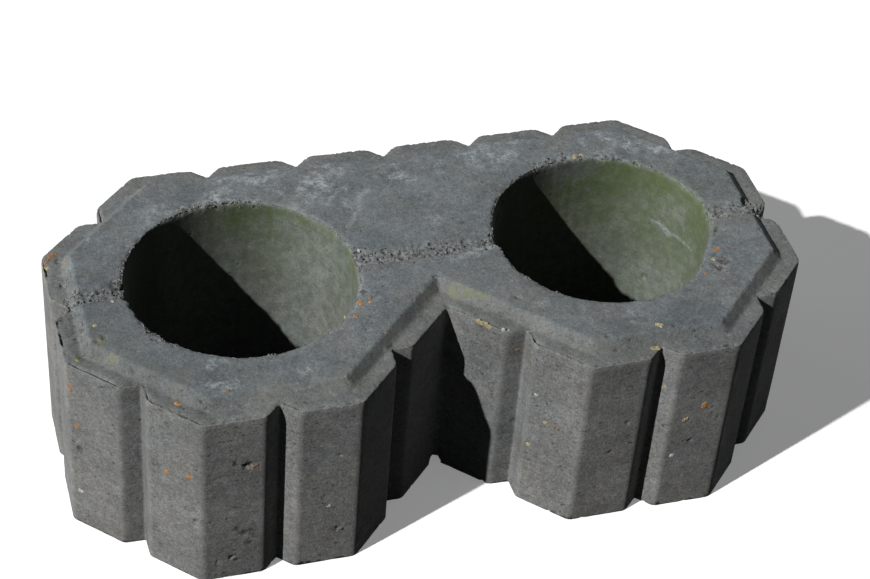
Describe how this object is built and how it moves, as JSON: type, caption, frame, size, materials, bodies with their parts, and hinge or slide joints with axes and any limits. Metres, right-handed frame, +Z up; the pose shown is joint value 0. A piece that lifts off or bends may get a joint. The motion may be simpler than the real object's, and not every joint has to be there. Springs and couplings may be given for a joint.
{
  "type": "double planter block",
  "caption": "Cast concrete planter block: joined eight-sided cells with upright grooves, a stepped deck, a front notch and round planting wells right through.",
  "frame": {"origin": "middle of the bed face, under the middle of the block's outline", "axes": "+X along the block, +Y towards its straight back, away from the front notch, +Z up out of the deck"},
  "size_m": [0.605, 0.3, 0.18],
  "materials": {
    "concrete": "weathered matte"
  },
  "bodies": {
    "root": {"planter_block": "concrete"}
  },
  "joints": []
}
